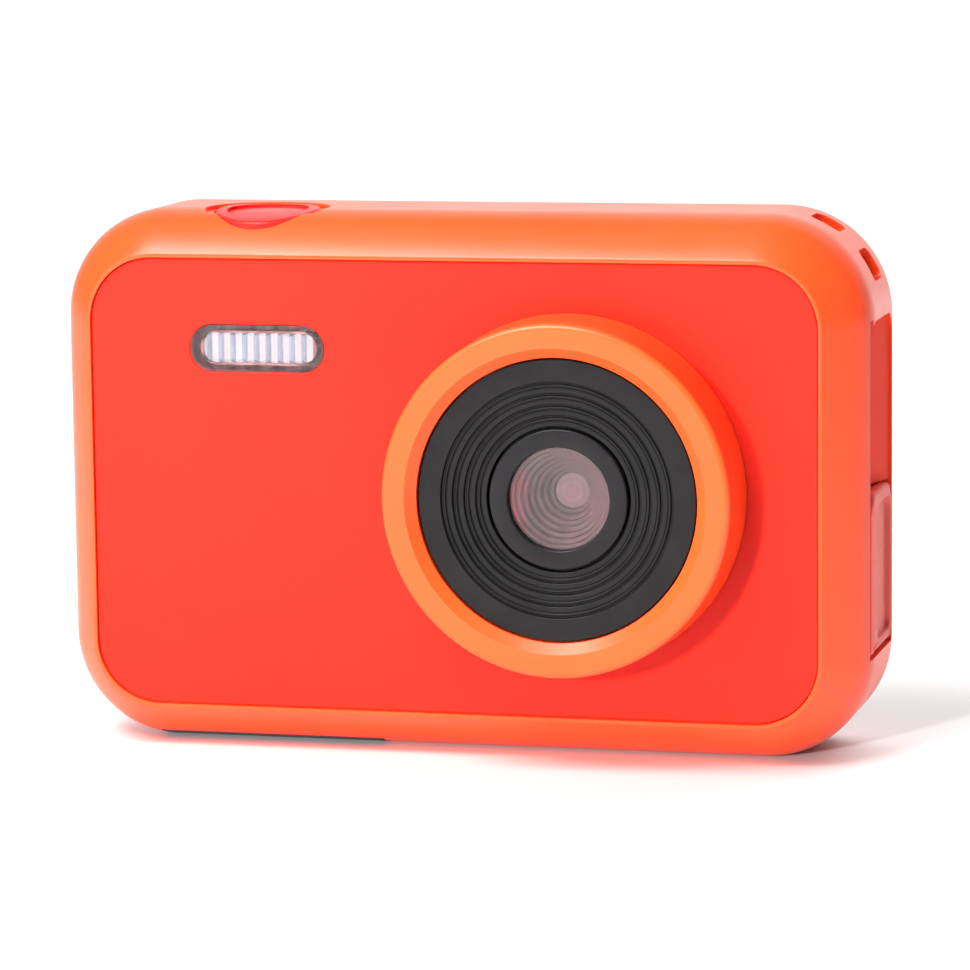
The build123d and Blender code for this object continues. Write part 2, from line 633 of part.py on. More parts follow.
def flash_board():
    return slab(FLASH_X, FLASH_Z, 19.4, 6.8, 0.6, FLASH_BOARD_Y, FLASH_BOARD_Y + THIN_BOARD_T)


# ---- electronics -------------------------------------------------------------------------------------
def main_board():
    board = slab(0.6, 26.4, 63.2, 36.0, 1.0, MAIN_BOARD_Y, MAIN_BOARD_BACK)
    for x, z in BOARD_SCREWS:
        board -= disc(x, z, BOARD_SCREW_R + 0.1, MAIN_BOARD_Y - 1, MAIN_BOARD_BACK + 1)
    return board


def chip(x, z, width, height, thick):
    """A packaged chip on the back of the main board."""
    return slab(x, z, width, height, 0.2, MAIN_BOARD_BACK, MAIN_BOARD_BACK + thick)


def usb_socket():
    """A micro data socket: a thin steel shell round a tongue."""
    x_in, x_out = 30.3, SIDE_BLOCK_X - 0.1
    y_front, y_back = MAIN_BOARD_BACK, MAIN_BOARD_BACK + 2.6
    low, high = USB_Z - 3.75, USB_Z + 3.75
    shell = brick((x_in, y_front, low), (x_out, y_back, high))
    shell -= brick((x_in + 1.0, y_front + 0.35, low + 0.35), (x_out + 1, y_back - 0.35, high - 0.35))
    return shell + brick((x_in + 0.5, y_front + 0.9, low + 1.4), (x_out - 1.2, y_front + 1.5, high - 1.4))


def card_socket():
    """A memory card socket on the front of the main board."""
    x_in, x_out = 22.3, SIDE_BLOCK_X - 0.1
    low, high = CARD_Z - 6.0, CARD_Z + 6.0
    socket = brick((x_in, MAIN_BOARD_Y - 1.5, low), (x_out, MAIN_BOARD_Y, high))
    slot_front, slot_back = MAIN_BOARD_Y - 1.25, MAIN_BOARD_Y - 0.3
    return socket - brick((x_in + 1.5, slot_front, low + 0.4), (x_out + 1, slot_back, high - 0.4))


def reset_switch():
    body = brick((30.6, MAIN_BOARD_BACK, 21.7), (33.6, MAIN_BOARD_BACK + 1.8, 24.7))
    return body + Pos(34.0, 5.2, 23.2) * Rot(0, 90, 0) * Cylinder(0.6, 1.6)


def battery():
    cell = slab(-20.5, 23.0, 30.0, 22.0, 2.0, WALL_BACK + 0.3, WALL_BACK + 6.1)
    return fillet(cell.edges().group_by(Axis.Y)[0] + cell.edges().group_by(Axis.Y)[-1], 1.2)


def battery_tape():
    return slab(-20.5, 23.0, 24.0, 16.0, 1.0, WALL_BACK, WALL_BACK + 0.3)


def battery_plug():
    return slab(-1.5, 30.5, 4.4, 4.0, 0.3, MAIN_BOARD_Y - 2.2, MAIN_BOARD_Y)


def battery_wires():
    route = [(-5.5, -2.4, 30.8), (-2.0, -2.4, 30.8), (-2.0, MAIN_BOARD_Y - 2.2, 30.8)]
    return wires(route, 0.4, (0, 0, -1.1))


def lcd_module():
    return slab(SCREEN_X, MID_Z, LCD_W, LCD_H, 0.6, LCD_FRONT, LCD_FRONT + LCD_T)


def lcd_frame():
    """A tray round the screen module, standing on the main board on four legs."""
    back = LCD_FRONT + LCD_T + 0.2
    frame = slab(SCREEN_X, MID_Z, LCD_W + 1.2, LCD_H + 1.2, 0.8, LCD_FRONT - 0.6, back)
    frame -= slab(SCREEN_X, MID_Z, LCD_W, LCD_H, 0.6, LCD_FRONT, back + 1)
    frame -= slab(SCREEN_X, MID_Z, LCD_W - 6, LCD_H - 6, 1.0, LCD_FRONT - 2, LCD_FRONT + 1)
    for side in (-1, 1):
        for level in (-1, 1):
            x = SCREEN_X + side * (LCD_W / 2 - 0.4)
            z = MID_Z + level * (LCD_H / 2 - 0.4)
            frame += slab(x, z, 1.6, 1.6, 0.2, MAIN_BOARD_BACK, LCD_FRONT - 0.6)
    return frame


def lcd_connector():
    return slab(-3.0, MID_Z - 6.5, 3.6, 14.0, 0.2, MAIN_BOARD_BACK, MAIN_BOARD_BACK + 1.0)


def lcd_ribbon():
    """A flat ribbon that leaves the back of the screen and folds down to its connector."""
    thick = 0.15
    high, low = LCD_FRONT - thick / 2, MAIN_BOARD_BACK + 1.0 + thick / 2
    x_start, x_turn, x_end = 2.0, -6.0, -1.4
    top = Line((x_start, high), (x_turn, high))
    bend = ThreePointArc((x_turn, high), (x_turn - (high - low) / 2, (high + low) / 2), (x_turn, low))
    tail = Line((x_turn, low), (x_end, low))
    section = offset(Wire([top.edge(), bend.edge(), tail.edge()]), thick / 2, side=Side.BOTH)
    return extrude(Plane(origin=(0, 0, MID_Z - 12.5)) * make_face(section), amount=12)


def screen_window():
    window = slab(SCREEN_X, MID_Z, WINDOW_W, WINDOW_H, 3.0, BODY_REAR - WINDOW_T, BODY_REAR - 0.05)
    return fillet(edges_at(window, BODY_REAR - 0.05), 0.15)


def key_board():
    board = slab(KEY_X, MID_Z, 9.6, 35.4, 0.8, KEY_BOARD_Y, KEY_BOARD_Y + THIN_BOARD_T)
    for z in (MID_Z - KEY_BOSS_OFFSET, MID_Z + KEY_BOSS_OFFSET):
        board -= disc(KEY_X, z, BOARD_SCREW_R + 0.1, KEY_BOARD_Y - 1, KEY_BOARD_Y + 2)
    return board


def key_switches():
    """Five push switches, each with a well that its key's stem enters."""
    front = KEY_BOARD_Y + THIN_BOARD_T
    switches = []
    for x, z in stem_places().values():
        body = slab(x, z, 4.2, 4.2, 0.4, front, front + 1.2)
        switches.append(body - disc(x, z, 1.2, front + 0.5, front + 2))
    return joined(switches)


def rear_key(name):
    """A domed cap with a hidden flange that stops it falling out, and a stem to its switch."""
    (x, z), outline = key_outlines()[name]
    stem_x, stem_z = stem_places()[name]
    cap = plate(Pos(x, z) * outline, REAR_WALL - 0.1, BODY_REAR + KEY_PROUD)
    cap = fillet(edges_at(cap, BODY_REAR + KEY_PROUD), 0.4)
    flange = plate(Pos(x, z) * offset(outline, 0.35), REAR_WALL - 0.7, REAR_WALL - 0.1)
    stem_end = KEY_BOARD_Y + THIN_BOARD_T + 0.5 + KEY_TRAVEL + 0.15
    return cap + flange + disc(stem_x, stem_z, 0.9, stem_end, REAR_WALL - 0.7)


def speaker():
    return brick((-WIDTH / 2 + WALL, 1.6, 19.0), (-35.9, 8.0, 33.0))


def speaker_wires():
    route = [(-35.9, 5.8, 30.0), (-29.6, 5.8, 30.0), (-29.6, MAIN_BOARD_BACK, 30.0)]
    return wires(route, 0.35, (0, 0, -1.0))


def microphone():
    return disc(*MIC_PLACE, 1.9, REAR_WALL - 1.3, REAR_WALL)


def status_light():
    """A clear light guide with a flange behind the rear wall."""
    flange = disc(*LIGHT_PLACE, 1.5, REAR_WALL - 0.8, REAR_WALL)
    return flange + disc(*LIGHT_PLACE, 0.95, REAR_WALL, BODY_REAR + 0.05)


# ---- shutter, port cover and small parts -------------------------------------------------------------
def shutter_crown(drop):
    """Everything under the button's curved top, or under a copy of it set lower."""
    crown = Pos(SHUTTER_X, SHUTTER_CROWN_Y, HEIGHT - SHUTTER_CROWN_R) * Rot(0, 90, 0)
    return crown * Cylinder(SHUTTER_CROWN_R - drop, 4 * SHUTTER_R)


def shutter_button():
    """A round button with a stepped dish. Its curved top falls towards the front like the body."""
    button = upright(SHUTTER_X, SHUTTER_Y, SHUTTER_R, SHUTTER_SKIRT_Z, HEIGHT + 1) & shutter_crown(0)
    button = fillet(button.edges().group_by(Axis.Z)[-1], SHUTTER_EDGE)
    dish = upright(SHUTTER_X, SHUTTER_Y, SHUTTER_DISH_R, SHUTTER_ROOF_Z, HEIGHT + 1)
    button -= dish - shutter_crown(SHUTTER_DISH_DEPTH)
    inside_r = SHUTTER_R - SHUTTER_SKIRT_T
    button -= upright(SHUTTER_X, SHUTTER_Y, inside_r, SHUTTER_SKIRT_Z - 1, SHUTTER_ROOF_Z)
    wing_low, wing_high = HEIGHT - WALL - 1.0, HEIGHT - WALL - 0.1
    wings = brick(
        (SHUTTER_X - SHUTTER_WING, SHUTTER_BOARD_FRONT, wing_low),
        (SHUTTER_X + SHUTTER_WING, SHUTTER_BOARD_BACK, wing_high))
    wings -= upright(SHUTTER_X, SHUTTER_Y, SHUTTER_R - 0.5, wing_low - 1, wing_high + 1)
    stem_low = SHUTTER_BOARD_Z + 1.95
    return button + wings + upright(SHUTTER_X, SHUTTER_Y, 0.9, stem_low, SHUTTER_ROOF_Z + 0.2)


def shutter_switch():
    low = SHUTTER_BOARD_Z + THIN_BOARD_T
    body = brick((SHUTTER_X - 2.3, SHUTTER_Y - 2.3, low), (SHUTTER_X + 2.3, SHUTTER_Y + 2.3, low + 1.3))
    return body - upright(SHUTTER_X, SHUTTER_Y, 1.2, low + 0.5, low + 2)


def shutter_board():
    half = SHUTTER_WING + 0.4
    return brick(
        (SHUTTER_X - half, SHUTTER_BOARD_FRONT, SHUTTER_BOARD_Z),
        (SHUTTER_X + half, SHUTTER_BOARD_BACK, SHUTTER_BOARD_Z + THIN_BOARD_T))


def port_cover():
    """A rubber flap, hollowed on its outside, with plugs behind. Its foot is round about its hinge."""
    side = WIDTH / 2
    inner = side - RECESS_DEPTH
    front, back = RECESS_FRONT + COVER_GAP, RECESS_BACK - COVER_GAP
    hinge_x, hinge_z = hinge_place()
    flap = brick((inner, front, hinge_z), (side, back, COVER_TOP))
    foot_place = Pos(hinge_x, (front + back) / 2, hinge_z)
    flap += foot_place * Rot(90, 0, 0) * Cylinder(COVER_HINGE_R, back - front)
    corners = flap.edges().filter_by(Axis.X).group_by(Axis.Z)[-1]
    flap = fillet(corners, COVER_TOP_R)
    well_front, well_back = front + COVER_RIM_FRONT, back - COVER_RIM_REAR
    well_low, well_top = COVER_LOW + COVER_RIM, COVER_TOP - COVER_RIM
    well = RectangleRounded(well_back - well_front, well_top - well_low, 1.2)
    well_frame = side_frame(side - COVER_SUNK, well_front, well_back, well_low, well_top)
    flap -= extrude(well_frame * well, amount=2)
    flap += brick((inner - 0.9, 4.6, USB_Z - 3.4), (inner + 0.5, 6.4, USB_Z + 3.4))
    return flap + brick((inner - 0.9, 1.8, CARD_Z - 5.2), (inner + 0.5, 3.0, CARD_Z + 5.2))


def hinge_place():
    """The port cover's hinge axis, in X and Z."""
    return WIDTH / 2 - COVER_HINGE_R, COVER_LOW + COVER_HINGE_R


def rating_label():
    half = LABEL_W / 2 - 0.1
    return brick((LABEL_X - half, LABEL_FRONT + 0.1, 0), (LABEL_X + half, LABEL_BACK - 0.1, LABEL_T))


def tripod_nut():
    nut = upright(TRIPOD_X, TRIPOD_Y, TRIPOD_NUT_R, 0.1, TRIPOD_DEPTH)
    return nut - upright(TRIPOD_X, TRIPOD_Y, TRIPOD_BORE_R, -1, TRIPOD_DEPTH + 1)


def shell_screws():
    screws = []
    for x, z in SHELL_SCREWS:
        head = disc(x, z, SHELL_HEAD_R, WALL_FRONT + 0.05, WALL_FRONT + 0.8)
        screws.append(head + disc(x, z, SHELL_SCREW_R, WALL_FRONT + 0.8, REAR_WALL - 1.2))
    return joined(screws)


def board_screws():
    screws = []
    for x, z in BOARD_SCREWS:
        head = disc(x, z, BOARD_HEAD_R, MAIN_BOARD_BACK, MAIN_BOARD_BACK + 0.7)
        screws.append(head + disc(x, z, BOARD_SCREW_R, MAIN_BOARD_BACK - 4.5, MAIN_BOARD_BACK))
    for z in (MID_Z - KEY_BOSS_OFFSET, MID_Z + KEY_BOSS_OFFSET):
        head = disc(KEY_X, z, BOARD_HEAD_R, KEY_BOARD_Y - 0.7, KEY_BOARD_Y)
        screws.append(head + disc(KEY_X, z, BOARD_SCREW_R, KEY_BOARD_Y, KEY_BOARD_Y + 3.5))
    return joined(screws)



NODES = {
    "front_shell": front_shell(),
    "rear_shell": rear_shell(),
    "front_panel": front_panel(),
    "panel_adhesive": panel_adhesive(),
    "lens_ring": lens_ring(),
    "lens_gasket": lens_gasket(),
    "ring_screws": ring_screws(),
    "lens_bezel": lens_bezel(),
    "lens_collar": lens_collar(),
    "lens_cover_glass": lens_cover_glass(),
    "lens_baffle": lens_baffle(),
    "lens_barrel": lens_barrel(),
    "lens_front_element": lens_front_element(),
    "aperture_stop": aperture_stop(),
    "lens_rear_elements": lens_rear_elements(),
    "lens_holder": lens_holder(),
    "ir_filter": ir_filter(),
    "image_sensor": image_sensor(),
    "sensor_board": sensor_board(),
    "sensor_connector": sensor_connector(),
    "flash_window": flash_window(),
    "flash_diffuser": flash_diffuser(),
    "flash_leds": flash_leds(),
    "flash_board": flash_board(),
    "main_board": main_board(),
    "processor": chip(10.0, 27.0, 10.0, 10.0, 1.2),
    "memory_chip": chip(-6.0, 33.0, 7.0, 9.0, 1.0),
    "power_chip": chip(-18.0, 16.0, 4.0, 4.0, 0.9),
    "usb_socket": usb_socket(),
    "card_socket": card_socket(),
    "reset_switch": reset_switch(),
    "battery": battery(),
    "battery_tape": battery_tape(),
    "battery_plug": battery_plug(),
    "battery_wires": battery_wires(),
    "lcd_module": lcd_module(),
    "lcd_frame": lcd_frame(),
    "lcd_connector": lcd_connector(),
    "lcd_ribbon": lcd_ribbon(),
    "screen_window": screen_window(),
    "key_board": key_board(),
    "key_switches": key_switches(),
    "speaker": speaker(),
    "speaker_wires": speaker_wires(),
    "microphone": microphone(),
    "status_light": status_light(),
    "shutter_button": shutter_button(),
    "shutter_switch": shutter_switch(),
    "shutter_board": shutter_board(),
    "port_cover": port_cover(),
    "rating_label": rating_label(),
    "tripod_nut": tripod_nut(),
    "shell_screws": shell_screws(),
    "board_screws": board_screws(),
}
for key in key_outlines():
    NODES[key] = rear_key(key)

os.makedirs("parts", exist_ok=True)
for name, shape in NODES.items():
    export_step(shape, f"parts/{name}.step")
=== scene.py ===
import bmesh
import bpy
import json
import math
from mathutils import Matrix, Vector
from mathutils.bvhtree import BVHTree


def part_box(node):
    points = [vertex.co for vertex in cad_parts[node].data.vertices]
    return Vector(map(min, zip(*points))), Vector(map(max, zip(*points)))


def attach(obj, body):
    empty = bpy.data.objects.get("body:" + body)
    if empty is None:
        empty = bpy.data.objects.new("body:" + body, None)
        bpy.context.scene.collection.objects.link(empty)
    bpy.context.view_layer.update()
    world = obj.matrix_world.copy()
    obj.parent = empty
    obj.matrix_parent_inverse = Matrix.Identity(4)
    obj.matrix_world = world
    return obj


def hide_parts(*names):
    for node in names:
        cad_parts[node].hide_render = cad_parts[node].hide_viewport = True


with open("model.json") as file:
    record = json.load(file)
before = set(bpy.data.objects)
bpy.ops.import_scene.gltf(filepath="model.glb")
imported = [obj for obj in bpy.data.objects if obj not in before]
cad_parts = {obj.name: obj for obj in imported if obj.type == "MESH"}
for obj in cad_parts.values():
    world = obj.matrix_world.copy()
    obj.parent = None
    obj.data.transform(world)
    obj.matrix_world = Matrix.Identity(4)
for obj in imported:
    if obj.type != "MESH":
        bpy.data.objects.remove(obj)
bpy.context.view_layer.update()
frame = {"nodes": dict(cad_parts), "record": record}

MM = 0.001

# Where the camera aims, how it is turned and how far off it stands.
AIM = Vector((3.53, -7.65, 26.62)) * MM
CAMERA_AZIMUTH = math.radians(14.337)
CAMERA_ELEVATION = math.radians(8.228)
CAMERA_ROLL = math.radians(-0.662)
CAMERA_DISTANCE = 434.4 * MM
CAMERA_LENS = 168.9

# The lens axis, read from the frame, the bezel's depth and how finely round parts are turned.
RING_LOW, RING_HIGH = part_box("lens_ring")
LENS_X = (RING_LOW.x + RING_HIGH.x) / 2
LENS_Z = (RING_LOW.z + RING_HIGH.z) / 2
BEZEL_FLOOR = 2.0  # mm behind the bezel's front
TURN_STEPS = 256

# The flash's prisms: where their row is centred, how many, how far apart and how deep.
FLASH_LOW, FLASH_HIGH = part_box("flash_window")
FLASH_X = (FLASH_LOW.x + FLASH_HIGH.x) / 2
FLASH_Z = (FLASH_LOW.z + FLASH_HIGH.z) / 2
FLASH_RIBS = 9
FLASH_PITCH = 1.19 * MM
FLASH_RIB_DEPTH = 0.3 * MM


# ---- studio ------------------------------------------------------------------------------------------
def make_camera():
    """The camera, aimed at a point and turned by azimuth, elevation and roll."""
    a, e, r = CAMERA_AZIMUTH, CAMERA_ELEVATION, CAMERA_ROLL
    back = Vector((math.sin(a) * math.cos(e), -math.cos(a) * math.cos(e), math.sin(e)))
    right = Vector((math.cos(a), math.sin(a), 0))
    up = back.cross(right)
    turned_right = math.cos(r) * right + math.sin(r) * up
    turned_up = math.cos(r) * up - math.sin(r) * right
    data = bpy.data.cameras.new("camera")
    data.lens = CAMERA_LENS
    data.sensor_width = 36
    data.clip_start = 0.01
    data.clip_end = 20
    camera = bpy.data.objects.new("camera", data)
    place = Matrix((turned_right, turned_up, back)).transposed().to_4x4()
    place.translation = AIM + CAMERA_DISTANCE * back
    camera.matrix_world = place
    bpy.context.scene.collection.objects.link(camera)
    bpy.context.scene.camera = camera


def area_light(name, place, size, power, aim=(0, 0, 0.026), glossy=True):
    """A soft rectangular lamp. Without gloss it lights surfaces but isn't mirrored in them."""
    data = bpy.data.lights.new(name, "AREA")
    data.shape = "RECTANGLE"
    data.size, data.size_y = size
    data.energy = power
    light = bpy.data.objects.new(name, data)
    light.location = place
    light.visible_glossy = glossy
    light.rotation_euler = (Vector(aim) - Vector(place)).to_track_quat("-Z", "Y").to_euler()
    bpy.context.scene.collection.objects.link(light)


def make_world():
    """White to look at from every side, but bright only behind the object when it lights it."""
    world = bpy.data.worlds.new("studio")
    world.use_nodes = True
    tree = world.node_tree
    nodes, links = tree.nodes, tree.links
    shown = nodes["Background"]
    shown.inputs["Color"].default_value = (1, 1, 1, 1)
    shown.inputs["Strength"].default_value = 1.06
    lighting = nodes.new("ShaderNodeBackground")
    place = nodes.new("ShaderNodeTexCoord")
    apart = nodes.new("ShaderNodeSeparateXYZ")
    links.new(place.outputs["Generated"], apart.inputs["Vector"])
    ramp = nodes.new("ShaderNodeMapRange")
    links.new(apart.outputs["Y"], ramp.inputs["Value"])
    ramp.inputs["From Min"].default_value = 0.45
    ramp.inputs["From Max"].default_value = 0.93
    ramp.inputs["To Min"].default_value = 0.2
    ramp.inputs["To Max"].default_value = 1.5
    links.new(ramp.outputs["Result"], lighting.inputs["Strength"])
    path = nodes.new("ShaderNodeLightPath")
    mix = nodes.new("ShaderNodeMixShader")
    links.new(path.outputs["Is Camera Ray"], mix.inputs["Fac"])
    links.new(lighting.outputs["Background"], mix.inputs[1])
    links.new(shown.outputs["Background"], mix.inputs[2])
    links.new(mix.outputs["Shader"], nodes["World Output"].inputs["Surface"])
    bpy.context.scene.world = world
    bpy.context.scene.view_settings.view_transform = "Standard"


# ---- materials ---------------------------------------------------------------------------------------
class Finish:
    """A node material under construction: a Principled shader and the textures that feed it."""

    def __init__(self, name, **sockets):
        self.material = bpy.data.materials.new(name)
        self.material.use_nodes = True
        self.nodes = self.material.node_tree.nodes
        self.links = self.material.node_tree.links
        self.shader = self.nodes["Principled BSDF"]
        self.place = self.nodes.new("ShaderNodeTexCoord").outputs["Object"]
        for socket, value in sockets.items():
            self.shader.inputs[socket.replace("_", " ")].default_value = value

    def axis(self, letter):
        """One coordinate of the shaded point, in the object's frame at rest."""
        apart = self.nodes.new("ShaderNodeSeparateXYZ")
        self.links.new(self.place, apart.inputs["Vector"])
        return apart.outputs[letter]

    def maths(self, operation, *values):
        """A Math node fed by outputs and plain numbers, in the order of its sockets."""
        node = self.nodes.new("ShaderNodeMath")
        node.operation = operation
        for socket, value in zip(node.inputs, values):
            if isinstance(value, (int, float)):
                socket.default_value = value
            else:
                self.links.new(value, socket)
        return node.outputs["Value"]

    def vector_maths(self, operation, value, other=(0, 0, 0), output="Vector"):
        """A Vector Math node fed by an output and a plain vector."""
        node = self.nodes.new("ShaderNodeVectorMath")
        node.operation = operation
        node.inputs[1].default_value = other
        self.links.new(value, node.inputs[0])
        return node.outputs[output]

    def mapped(self, value, start, end, to_start=0.0, to_end=1.0, clamp=True):
        """A number that goes from to_start to to_end as the value goes from start to end."""
        node = self.nodes.new("ShaderNodeMapRange")
        node.clamp = clamp
        node.inputs["From Min"].default_value = start
        node.inputs["From Max"].default_value = end
        node.inputs["To Min"].default_value = to_start
        node.inputs["To Max"].default_value = to_end
        self.links.new(value, node.inputs["Value"])
        return node.outputs["Result"]

    def noise(self, size_mm, detail=3.0, stretch=None):
        """Noise whose features are about size_mm across, longer along a stretched axis."""
        texture = self.nodes.new("ShaderNodeTexNoise")
        texture.inputs["Scale"].default_value = 1 / (size_mm * MM)
        texture.inputs["Detail"].default_value = detail
        source = self.place
        if stretch:
            mapping = self.nodes.new("ShaderNodeMapping")
            mapping.inputs["Scale"].default_value = stretch
            self.links.new(source, mapping.inputs["Vector"])
            source = mapping.outputs["Vector"]
        self.links.new(source, texture.inputs["Vector"])
        return texture.outputs["Fac"]

    def tint(self, fac, stops, socket="Base Color"):
        """Colours spread over a texture: stops are (position, linear colour)."""
        ramp = self.nodes.new("ShaderNodeValToRGB")
        points = ramp.color_ramp.elements
        while len(points) < len(stops):
            points.new(0.5)
        for point, (position, colour) in zip(points, stops):
            point.position = position
            point.color = (*colour, 1)
        self.links.new(fac, ramp.inputs["Fac"])
        self.links.new(ramp.outputs["Color"], self.shader.inputs[socket])
        return ramp.outputs["Color"]

    def clouds(self, size_mm, dark, light, detail=4.0):
        """Base colour in soft clouds between two shades."""
        return self.tint(self.noise(size_mm, detail), [(0.3, dark), (0.7, light)])

    def blend(self, factor, under, over):
        """Base colour that goes from one colour to another as the factor goes from 0 to 1."""
        mix = self.nodes.new("ShaderNodeMix")
        mix.data_type = "RGBA"
        self.links.new(factor, mix.inputs["Factor"])
        self.links.new(under, mix.inputs["A"])
        self.links.new(over, mix.inputs["B"])
        self.links.new(mix.outputs["Result"], self.shader.inputs["Base Color"])

    def spread(self, fac, low, high):
        """Roughness that follows a texture from low to high."""
        self.links.new(self.mapped(fac, 0.3, 0.7, low, high), self.shader.inputs["Roughness"])

    def inside(self, low, high):
        """1 inside a box in the object's frame at rest and 0 outside it."""
        result = None
        for letter, a, b in zip("XYZ", low, high):
            within = self.maths("COMPARE", self.axis(letter), (a + b) / 2, (b - a) / 2)
            result = self.maths("MULTIPLY", result, within) if result else within
        return result

    def bump(self, fac, depth_mm, invert=False):
        """Relief of about depth_mm, on top of any relief already there."""
        node = self.nodes.new("ShaderNodeBump")
        node.invert = invert
        node.inputs["Strength"].default_value = 1.0
        node.inputs["Distance"].default_value = depth_mm * MM
        self.links.new(fac, node.inputs["Height"])
        before = self.shader.inputs["Normal"].links
        if before:
            self.links.new(before[0].from_socket, node.inputs["Normal"])
        self.links.new(node.outputs["Normal"], self.shader.inputs["Normal"])


def srgb(red, green, blue):
    """Linear colour of an 8-bit display colour."""
    shades = [c / 255 for c in (red, green, blue)]
    return tuple(((c + 0.055) / 1.055) ** 2.4 if c > 0.04 else c / 12.92 for c in shades)


def moulded(name, dark, light, rough, grain_mm=0.22, grain_depth=0.004, cloud_mm=9.0, **sockets):
    """Moulded plastic: a fine spark-eroded grain, faint clouds of colour and patchy sheen."""
    finish = Finish(name, **sockets)
    finish.clouds(cloud_mm, dark, light)
    finish.spread(finish.noise(cloud_mm / 4), rough - 0.04, rough + 0.05)
    finish.bump(finish.noise(grain_mm, 2.0), grain_depth)
    return finish.material


def shell_orange():
    """The casing's orange plastic. The side recess is matt and carries a painted red shade that deepens
    towards its front.
    """
    depth, skin = 1.9 * MM, 0.06 * MM
    front, back = -2.2 * MM, 9.2 * MM
    foot, top = 9.7 * MM, 42.3 * MM
    # Where the painted red shade in the side recess is full and where it is faintest.
    shade_full_at, shade_faint_at = 3.0 * MM, 8.5 * MM
    recess_roughness = 0.75
    lip, crown_end, crown_height = -7.9 * MM, -4.0 * MM, 0.55
    finish = Finish("shell_orange")
    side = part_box("front_shell")[1].x
    recess = finish.inside((side - depth, front, foot), (side - skin, back, top))
    orange = finish.clouds(12.0, (0.90, 0.062, 0.010), (0.94, 0.070, 0.012))
    # Painted shade: inside the side recess the orange is mixed towards a deep red, fully near its front,
    # where the recess lies in shadow, and a quarter as much near its back.
    red = finish.clouds(9.0, (0.84, 0.016, 0.012), (0.88, 0.020, 0.014))
    painted_shade_to_front = finish.mapped(finish.axis("Y"), shade_full_at, shade_faint_at, 1.0, 0.25)
    finish.blend(finish.maths("MULTIPLY", recess, painted_shade_to_front), orange, red)
    glossy, satin = (0.275, 0.275, 0.275), (0.325, 0.325, 0.325)
    sheen = finish.tint(finish.noise(5.0, 2.0), [(0.25, glossy), (0.75, satin)], "Roughness")
    roughness = finish.maths("MAXIMUM", sheen, finish.maths("MULTIPLY", recess, recess_roughness))
    finish.links.new(roughness, finish.shader.inputs["Roughness"])
    # The front bevel is crowned: its face bends a little more towards the front near the lip.
    near_lip = finish.mapped(finish.axis("Y"), lip, crown_end, 1.0, 0.0)
    finish.bump(finish.maths("MULTIPLY", near_lip, near_lip), crown_height, invert=True)
    finish.bump(finish.noise(0.22, 2.0), 0.003)
    return finish.material


def metal(name, dark, light, rough, stretch=(1, 1, 1)):
    """Plated or drawn metal with fine scratches."""
    finish = Finish(name, Metallic=1.0)
    finish.tint(finish.noise(3.0, 5.0, stretch), [(0.3, dark), (0.7, light)])
    finish.spread(finish.noise(0.4, 4.0, stretch), rough, rough + 0.15)
    finish.bump(finish.noise(0.15, 3.0, stretch), 0.003)
    return finish.material


def glassy(name, colour, rough):
    """Clear polished glass with faint wipe marks in its gloss."""
    finish = Finish(name, Transmission_Weight=1.0, IOR=1.5)
    finish.clouds(4.0, tuple(0.96 * c for c in colour), colour)
    finish.spread(finish.noise(1.5, 4.0, (1, 1, 4)), rough, rough + 0.03)
    return finish.material


def board_green():
    """Solder mask with the faint relief and lighter green of the copper tracks below it."""
    finish = Finish("board_green", Coat_Weight=0.3, Coat_Roughness=0.2)
    tracks = finish.nodes.new("ShaderNodeTexBrick")
    tracks.inputs["Scale"].default_value = 160
    tracks.inputs["Mortar Size"].default_value = 0.035
    finish.links.new(finish.place, tracks.inputs["Vector"])
    finish.tint(tracks.outputs["Fac"], [(0.0, srgb(14, 74, 44)), (1.0, srgb(36, 112, 66))])
    finish.bump(tracks.outputs["Fac"], 0.03)
    finish.spread(finish.noise(1.2), 0.32, 0.42)
    return finish.material


def ribbed_pearl():
    """The flash's reflector: pale prisms with painted blue-grey shade on their left faces, on a rosy plate.
    """
    finish = Finish("pearl_plastic")
    row_start = FLASH_X - FLASH_RIBS / 2 * FLASH_PITCH
    along = finish.mapped(finish.axis("X"), row_start, row_start + FLASH_PITCH, clamp=False)
    # Painted shade: each prism's left face and the gap before it go blue-grey, while its right face keeps the
    # plastic's own white.
    edge, blue, white = srgb(176, 182, 200), srgb(150, 158, 180), srgb(246, 244, 246)
    stops = [(0.1, edge), (0.52, blue), (0.60, white), (0.95, white)]
    ribs_with_painted_shade = finish.tint(finish.maths("FRACT", along), stops)
    plate = finish.clouds(1.4, srgb(150, 88, 92), srgb(178, 120, 122))
    low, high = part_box("flash_diffuser")
    rib_zone = finish.inside((low.x, low.y - MM, low.z), (high.x, low.y + FLASH_RIB_DEPTH, high.z))
    finish.blend(rib_zone, plate, ribs_with_painted_shade)
    finish.spread(finish.noise(0.5), 0.2, 0.3)
    finish.bump(finish.noise(0.3, 3.0), 0.006)
    return finish.material


def clear_plastic():
    """Clear plastic. The flash window's border is hazy and rosy round its clear middle."""
    half_x, half_z = 5.55 * MM, 1.45 * MM
    border_haze = 0.95
    finish = Finish("clear_plastic", IOR=1.49)
    low, high = FLASH_LOW, FLASH_HIGH
    clear_low = (FLASH_X - half_x, low.y, FLASH_Z - half_z)
    clear_high = (FLASH_X + half_x, high.y, FLASH_Z + half_z)
    border = finish.maths("SUBTRACT", finish.inside(low, high), finish.inside(clear_low, clear_high))
    bare = finish.clouds(4.0, (0.93, 0.91, 0.92), (0.97, 0.95, 0.96))
    streaks = finish.noise(1.6, 3.0, (1, 1, 0.4))
    rosy = finish.tint(streaks, [(0.35, srgb(158, 92, 98)), (0.65, srgb(226, 164, 164))])
    finish.blend(border, bare, rosy)
    clearness = finish.maths("MULTIPLY_ADD", border, -border_haze, 1.0)
    finish.links.new(clearness, finish.shader.inputs["Transmission Weight"])
    finish.spread(finish.noise(1.5, 4.0), 0.02, 0.05)
    return finish.material


